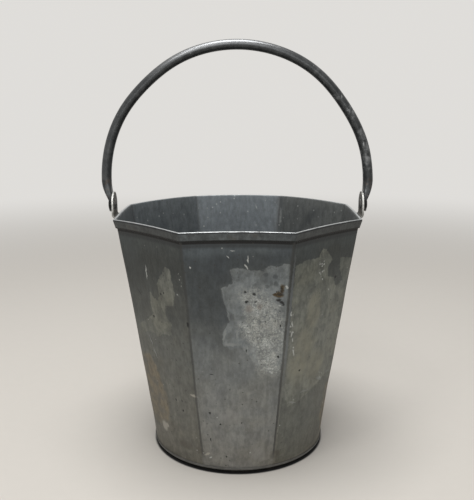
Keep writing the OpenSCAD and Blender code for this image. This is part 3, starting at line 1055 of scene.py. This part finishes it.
def buildLugMesh(side, name):
    thick, half, foot, top = lug["thick"], (lugHigh.y - lugLow.y) / 2, lugLow.z, lugHigh.z
    middle = lug["stand"] + thick / 2
    lean = lug["off"] + thick / 2 / math.cos(wallSlope)
    joggle = (wallAcross(lug["joggleFoot"]) + lean, lug["joggleFoot"])
    corners = [(middle, top), (middle, lug["joggleTop"]), joggle, (wallAcross(foot) + lean, foot)]
    line = list(reversed(roundedLine(corners, lug["bend"])))
    lineX, lineZ = [point.x for point in line], [point.y for point in line]
    heights = [top - half * (1 - math.sin(math.radians(t))) for t in steps(86, 0, 14)]
    heights += steps(top - half, foot + half, 40)[1:-1]
    heights += [foot + half * (1 - math.sin(math.radians(t))) for t in steps(0, 86, 14)]
    bm = bmesh.new()
    bmesh.ops.create_grid(bm, x_segments=12, y_segments=len(heights) - 1, size=0.5)
    for vert in bm.verts:
        z = heights[round((0.5 - vert.co.y) * (len(heights) - 1))]
        beyond = max(0, z - (top - half), (foot + half) - z)
        width = math.sqrt(max(0, half * half - beyond * beyond))
        vert.co = Vector((side * float(np.interp(z, lineZ, lineX)), vert.co.x * 2 * width, z))
    bmesh.ops.recalc_face_normals(bm, faces=bm.faces)
    if (bm.faces[0].normal.x > 0) != (side > 0):
        bmesh.ops.reverse_faces(bm, faces=bm.faces)
    bmesh.ops.solidify(bm, geom=bm.faces[:], thickness=thick)
    bmesh.ops.recalc_face_normals(bm, faces=bm.faces)
    inner = min(vert.co.x * side for vert in bm.verts if vert.co.z > lug["joggleTop"] + 6 * mm)
    bmesh.ops.translate(bm, verts=bm.verts, vec=(side * (lug["stand"] - inner), 0, 0))
    softenEdges(bm, 60, lug["edge"], 3)
    for vert in bm.verts:         # knocked a little out of true
        free = min(1, max(0, (vert.co.z - lug["knockedAbove"]) / (20 * mm)))
        vert.co.x += lug["outOfTrue"] * math.sin(vert.co.z * 190 + side) * free
    return markEdges(meshFrom(bm, name), 22)


def buildEarSteel():
    material, place, cloud = startMaterial("earSteel", 1.6)
    fromSide = stretch(place, (0, 1, 1))
    colour = mottled(cloud, (0.070, 0.066, 0.058), (0.185, 0.177, 0.158))
    rust = rise(noise(place, 95, 4, 0.6), 0.52, 0.68)
    colour = cover(colour, rust, 0.55, (0.105, 0.060, 0.030))
    # grease and dirt round the pivot and the rivets
    for at, size in zip((pivotHeight, *rivetHeights), (11 * mm, 8 * mm, 8 * mm)):
        away = plus(vectorMaths("DISTANCE", fromSide, (0, 0, at)), sway(cloud["Mottle"], 8 * mm))
        colour = cover(colour, rise(away, size, size / 2), 0.8, (0.030, 0.027, 0.023))
    exposed = between(rise(split(place)[2], 304 * mm, 319 * mm), 0.25, 1.0)
    worn = times(rubbedEdge(place, 0.8), exposed)
    colour = paint(worn, colour, (0.70, 0.70, 0.67))
    colour = cover(colour, lines(fromSide, 260, 0.5, 0.12), 0.3, (0.32, 0.32, 0.31))
    rough = minus(between(cloud["Mottle"], 0.5, 0.7), times(worn, 0.15))
    bumps = minus(grainHeight(cloud, 0.4), times(rust, 0.5))
    return endMaterial(material, colour, 0.45, rough, bumps, depth=0.3 * mm)


# a shank with a low domed head at each end, as an outline to be turned round
def domeLine(shank, head, seat, tall, way):
    line = [(0, seat + way * tall)]
    for t in steps(0, 86, 9)[1:]:
        up = 0.22 + 0.78 * math.cos(math.radians(t))
        line.append((head * math.sin(math.radians(t)), seat + way * tall * up))
    return line + [(head, seat + way * tall * 0.12), (head * 0.97, seat), (shank, seat)]


def addRivet(bm, size, low, lowRise, high, highRise, matrix):
    line = domeLine(size["shank"], size["head"], high, highRise, 1)
    line += reversed(domeLine(size["shank"], size["head"], low, lowRise, -1))
    made = bmesh.new()
    turnRound(made, line, 40, closed=False)
    bmesh.ops.transform(made, matrix=matrix, verts=made.verts)
    bmesh.ops.recalc_face_normals(made, faces=made.faces)
    passed = meshFrom(made, "rivet")
    bm.from_mesh(passed)
    bpy.data.meshes.remove(passed)


def buildLugRivetMesh(side, name):
    bm = bmesh.new()
    for height in rivetHeights:
        at = Matrix.Translation((side * wallAcross(height), 0, height))
        at = at @ Matrix.Rotation(side * (math.pi / 2 + wallSlope), 4, "Y")
        addRivet(bm, rivet, rivet["innerSeat"], rivet["rise"], rivet["outerSeat"], rivet["rise"], at)
    return markEdges(meshFrom(bm, name), 50)


def buildPivotMesh(side, name):
    bm = bmesh.new()
    at = Matrix.Translation((0, 0, pivotHeight)) @ Matrix.Rotation(side * math.pi / 2, 4, "Y")
    addRivet(bm, pivot, pivot["innerSeat"], pivot["innerRise"], pivot["outerSeat"], pivot["outerRise"], at)
    return markEdges(meshFrom(bm, name), 50)


def buildRivetSteel():
    material, place, cloud = startMaterial("rivetSteel", 2.2)
    colour = mottled(cloud, (0.050, 0.050, 0.048), (0.125, 0.125, 0.120))
    colour = cover(colour, rise(noise(place, 210, 4, 0.6), 0.5, 0.64), 0.6, (0.085, 0.045, 0.022))
    colour = paint(rubbedEdge(place, 0.5), colour, (0.25, 0.25, 0.24))
    rough = between(cloud["Mottle"], 0.42, 0.67)
    return endMaterial(material, colour, 0.5, rough, grainHeight(cloud, 0.4), depth=0.25 * mm)


rivetSteel = buildRivetSteel()

# what the name ends in, how its mesh is built, finish, slot, what the node's name ends in
sidePieces = [
    ("Lug", buildLugMesh, buildEarSteel(), "ear_steel", "_lug"),
    ("LugRivets", buildLugRivetMesh, rivetSteel, "rivet_steel", "_lug_rivets"),
    ("Pivot", buildPivotMesh, rivetSteel, "rivet_steel", "_pivot_rivet"),
]
for ending, build, finish, slotName, nodeEnding in sidePieces:
    for side, hand in ((1, "right"), (-1, "left")):
        name = hand + ending
        finishPiece(name, build(side, name), [finish], "pail", [hand + nodeEnding])


# the handle: a tube bent to a half circle, its ends pressed flat

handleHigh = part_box("bail")[1]

handle = {
    "tube": 6.35 * mm,            # half the tube's width
    "flatThick": 2.2 * mm,        # half the flattened end's thickness, slit included
    "flatWide": 9.5 * mm,         # half its width
    "flatMiddle": 162.0 * mm,
    "flatTop": 7.5 * mm,          # above the pivot
    "bendTop": 31.0 * mm,         # the bend's centre, above the pivot
    "hole": 4.1 * mm,
    "slit": 0.5 * mm,             # between the two pressed walls
    "pressCurve": 1.65,           # how late the tube gives way to the flat
    "lean": -0.9 * mm,            # the arch has been pulled a little to one side
    "leanOver": (46 * mm, 18 * mm),    # how soon each leg leans, right and left
    "squareness": 7,              # of the flattened ends
    "shoulders": [(35, 17, -3.0 * mm), (133, 15, -1.9 * mm)],      # angle, spread, in or out
    "around": 40,
    "along": 128,
}

bendRadius = handleHigh.x - handle["tube"]
bendHeight = pivotHeight + handle["bendTop"]
flatHeight = pivotHeight + handle["flatTop"]


def growLegs(bm, ends):           # straight down from both ends of the arch, each closed with a face
    roundEnd = [pivotHeight - handle["flatWide"] * math.sin(math.radians(t)) for t in steps(0, 87, 14)[1:]]
    heights = steps(bendHeight, flatHeight, 16)[1:] + steps(flatHeight, pivotHeight, 5)[1:] + roundEnd
    for edges in ends:
        level = bendHeight
        for height in heights:
            grown = bmesh.ops.extrude_edge_only(bm, edges=edges)["geom"]
            points = [item for item in grown if isinstance(item, bmesh.types.BMVert)]
            edges = [item for item in grown if isinstance(item, bmesh.types.BMEdge)]
            bmesh.ops.translate(bm, verts=points, vec=(0, 0, height - level))
            level = height
        bmesh.ops.contextual_create(bm, geom=edges)


# the round leg is pressed towards a flat one with rounded sides
def pressLeg(vert):
    side, z = math.copysign(1, vert.co.x), vert.co.z
    turn = math.atan2(vert.co.y, vert.co.x * side - bendRadius)
    down = (bendHeight - 0.5 * mm - z) / (bendHeight - flatHeight + 1 * mm)
    press = min(1, max(0, down)) ** handle["pressCurve"]
    power = 2 / (2 + handle["squareness"] * press)
    tube, flatWide = handle["tube"], handle["flatWide"]
    wide = tube + (flatWide - tube) * press
    if z < pivotHeight:
        wide = math.sqrt(max(0, flatWide ** 2 - (pivotHeight - z) ** 2)) * 0.999 + 0.02 * mm
    thick = tube + (handle["flatThick"] - tube) * press
    middle = bendRadius + (handle["flatMiddle"] - bendRadius) * press
    cosine, sine = math.cos(turn), math.sin(turn)
    x = thick * math.copysign(abs(cosine) ** power, cosine)
    y = wide * math.copysign(abs(sine) ** power, sine)
    if abs(cosine) < 0.02:
        y -= math.copysign(handle["slit"] * press, y)
    vert.co.x, vert.co.y = side * (middle + x), y


def pullOutOfRound(vert):
    x, z = vert.co.x, vert.co.z
    if z > bendHeight:
        angle = math.degrees(math.atan2(z - bendHeight, x))
        for at, spread, amount in handle["shoulders"]:
            pull = amount * math.exp(-((angle - at) / spread) ** 2)
            vert.co.x += pull * math.cos(math.radians(angle))
            vert.co.z += pull * math.sin(math.radians(angle))
    freeAbove = flatHeight + handle["leanOver"][0 if x > 0 else 1]
    vert.co.x += handle["lean"] * float(easeBetween(z, flatHeight - 1 * mm, freeAbove))


def buildHandleMesh():
    bm = bmesh.new()
    start = Matrix.Translation((bendRadius, 0, bendHeight))
    ring = bmesh.ops.create_circle(bm, cap_ends=False, segments=handle["around"], radius=handle["tube"],
                                   matrix=start)["verts"]
    firstEdges = list(dict.fromkeys(edge for vert in ring for edge in vert.link_edges))
    swept = bmesh.ops.spin(bm, geom=ring + firstEdges, cent=(0, 0, bendHeight), axis=(0, -1, 0),
                           angle=math.pi, steps=handle["along"], use_merge=False)
    lastEdges = [item for item in swept["geom_last"] if isinstance(item, bmesh.types.BMEdge)]
    growLegs(bm, (firstEdges, lastEdges))
    for vert in bm.verts:
        if vert.co.z < bendHeight - 0.01 * mm:
            pressLeg(vert)
    for vert in bm.verts:
        pullOutOfRound(vert)
    bmesh.ops.recalc_face_normals(bm, faces=bm.faces)
    return drillHandle(meshFrom(bm, "handle"))


def drillHandle(mesh):
    across = Matrix.Translation((0, 0, pivotHeight)) @ Matrix.Rotation(math.pi / 2, 4, "Y")
    bm = bmesh.new()
    hole = handle["hole"]
    bmesh.ops.create_cone(bm, cap_ends=True, segments=48, radius1=hole, radius2=hole, depth=0.4,
                          matrix=across)
    blank, drill = addObject("handleBlank", mesh), addObject("drill", meshFrom(bm, "drill"))
    cut = blank.modifiers.new("hole", "BOOLEAN")
    cut.operation, cut.solver, cut.object = "DIFFERENCE", "EXACT", drill
    bpy.context.view_layer.update()
    made = bpy.data.meshes.new_from_object(blank.evaluated_get(bpy.context.evaluated_depsgraph_get()))
    for item in (blank, drill):
        bpy.data.objects.remove(item)
    made.name = "handle"
    made.materials.clear()
    return markEdges(made, 60)


def buildHandleSteel():
    material, place, cloud = startMaterial("handleSteel", 1.8)
    across, deep, height = split(place)
    colour = mottled(cloud, (0.023, 0.025, 0.026), (0.048, 0.051, 0.052))
    dull = rise(noise(place, 60, 4, 0.6), 0.5, 0.7)
    paleLeg = rise(across, 60 * mm, 160 * mm)       # one leg is paler than the other, and scuffed
    colour = paint(times(dull, between(paleLeg, 0.1, 0.9)), colour, (0.205, 0.211, 0.214))
    scuffs = times(dots(stretch(place, (1, 1, 0.4)), 210, 0.36, 0.42), paleLeg)
    colour = cover(colour, scuffs, 0.65, (0.34, 0.35, 0.35))
    rust = times(rise(noise(place, 130, 4, 0.65), 0.54, 0.66), rise(height, 360 * mm, 325 * mm))
    colour = cover(colour, rust, 0.7, (0.10, 0.055, 0.028))
    nicks = dots(place, 140, 0.16, 0.14)
    colour = cover(colour, nicks, 0.75, (0.38, 0.39, 0.40))
    colour = cover(colour, lines(stretch(place, (1, 0, 1)), 110, 0.9, 0.04), 0.25, (0.30, 0.31, 0.32))
    # the outer side of the grip is painted paler and more metallic: partly polish from hands, partly a
    # painted highlight
    upward = minus(height, bendHeight)
    reach = maths("SQRT", plus(times(across, across), times(upward, upward)))
    proud = plus(minus(reach, bendRadius), sway(cloud["Mottle"], 0.8 * mm))
    turn = maths("DEGREES", maths("ARCTAN2", upward, across))
    grip = times(rise(turn, 62, 88), rise(turn, 136, 112), 0.85)
    grip = plus(grip, times(rise(turn, 2, 40), 0.12))
    polishAndHighlight = times(rise(proud, -0.6 * mm, 3.4 * mm), grip)
    colour = paint(polishAndHighlight, colour, (0.215, 0.22, 0.225))
    # rubbed edges; the flattened ends' narrow sides along the slit are painted near black as painted shade
    colour = paint(rubbedEdge(place, 0.3), colour, (0.22, 0.225, 0.23))
    flatEnd = rise(height, pivotHeight + 14 * mm, pivotHeight + 8 * mm)
    slit = rise(maths("ABSOLUTE", deep), 6.5 * mm, 8.6 * mm)
    colour = cover(colour, times(flatEnd, slit), 0.95, (0.007, 0.007, 0.007))
    rough = plus(between(cloud["Mottle"], 0.29, 0.41), times(dull, paleLeg, 0.2))
    bumps = minus(plus(times(cloud["Grain"], 0.25), times(cloud["Mottle"], 0.6)), nicks)
    metal = between(polishAndHighlight, 0.55, 0.95)
    return endMaterial(material, colour, metal, rough, bumps, depth=0.12 * mm, strength=0.25)


finishPiece("handleTube", buildHandleMesh(), [buildHandleSteel()], "handle", ["bail"])


# the studio

def seenBy(tree, *kinds):
    rays = addNode(tree, "LightPath").outputs
    return most(*[rays["Is " + kind + " Ray"] for kind in kinds])


def mixShaders(amount, first, second, output):
    made = addNode(treeOf(amount), "MixShader")
    for value, socket in zip((amount, first, second), made.inputs):
        plug(value, socket)
    plug(made.outputs[0], output)


def buildFloor():
    bm = bmesh.new()
    bmesh.ops.create_circle(bm, cap_ends=True, segments=96, radius=studio["floorRadius"])
    floor = addObject("floor", meshFrom(bm, "floor"))
    material = bpy.data.materials.new("floorPaint")
    material.use_nodes = True
    tree = material.node_tree
    place = addNode(tree, "TexCoord").outputs["Object"]
    darker, lighter = ([channel * share for channel in studio["floorColour"]] for share in (0.985, 1.015))
    colour = paint(noise(place, 60, 3, 0.6), darker, lighter)
    reach = vectorMaths("LENGTH", place)
    # a near-black painted contact shadow on the floor round the foot
    colour = paint(rise(reach, studio["contactShadowGone"], studio["contactShadowFull"]), colour, (0.004, 0.004, 0.004))
    shader = plugAll(tree.nodes["Principled BSDF"], **{"Base Color": colour, "Roughness": 0.8})
    glow = plugAll(addNode(tree, "Emission"), Color=studio["backColour"])
    amount = times(seenBy(tree, "Camera", "Glossy"), rise(reach, studio["fadeFrom"], studio["fadeTo"]))
    mixShaders(amount, shader.outputs[0], glow.outputs[0], tree.nodes["Material Output"].inputs["Surface"])
    floor.data.materials.append(material)


def buildSky():
    world = bpy.data.worlds.new("studioSky")
    bpy.context.scene.world = world
    world.use_nodes = True
    tree = world.node_tree
    light = plugAll(tree.nodes["Background"], Color=studio["skyColour"], Strength=studio["skyStrength"])
    shown = plugAll(addNode(tree, "Background"), Color=studio["backColour"])
    seen = seenBy(tree, "Camera", "Glossy", "Transmission")
    mixShaders(seen, light.outputs[0], shown.outputs[0], tree.nodes["World Output"].inputs["Surface"])


buildFloor()
buildSky()
for lamp in lamps:
    addLamp(*lamp)
placeCamera()
bpy.context.scene.view_settings.view_transform = "Standard"
print("studio ready")
